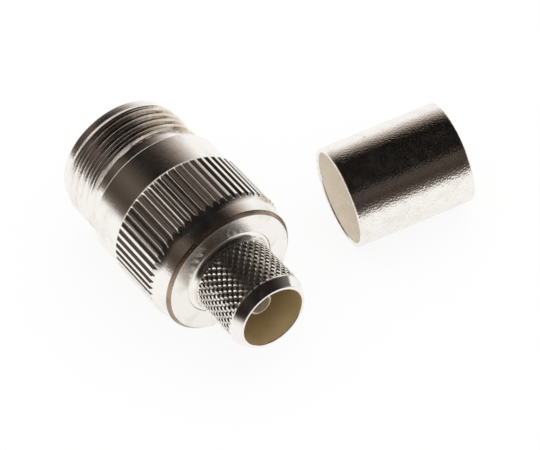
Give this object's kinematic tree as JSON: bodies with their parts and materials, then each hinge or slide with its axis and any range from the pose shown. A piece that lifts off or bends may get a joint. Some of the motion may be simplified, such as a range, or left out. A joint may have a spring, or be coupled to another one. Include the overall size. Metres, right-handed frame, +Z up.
{
  "type": "n type connector",
  "caption": "Straight threaded crimp jack for coaxial cable, with a knurled collar, a diamond-knurled spigot and its loose crimp ferrule.",
  "frame": {"origin": "centre of the reference plane, the shoulder in the mouth on which the plug's outer contact seats, on the connector's axis", "axes": "-X along the connector's axis and out of its threaded mouth, +Z up from the surface that the collar and the ferrule lie on"},
  "size_m": [0.0315, 0.0414, 0.0178],
  "materials": {
    "nickel_plate": "bright nickel plate on turned brass",
    "contact_plate": "bright plate on turned brass",
    "ferrule_plate": "satin nickel plate on drawn brass tube",
    "insulator": "matt white"
  },
  "bodies": {
    "root": {"jack_shell": "nickel_plate", "front_insulator": "insulator", "rear_insulator": "insulator", "centre_contact": "contact_plate", "crimp_spigot": "nickel_plate", "crimp_ferrule": "ferrule_plate"}
  },
  "joints": []
}
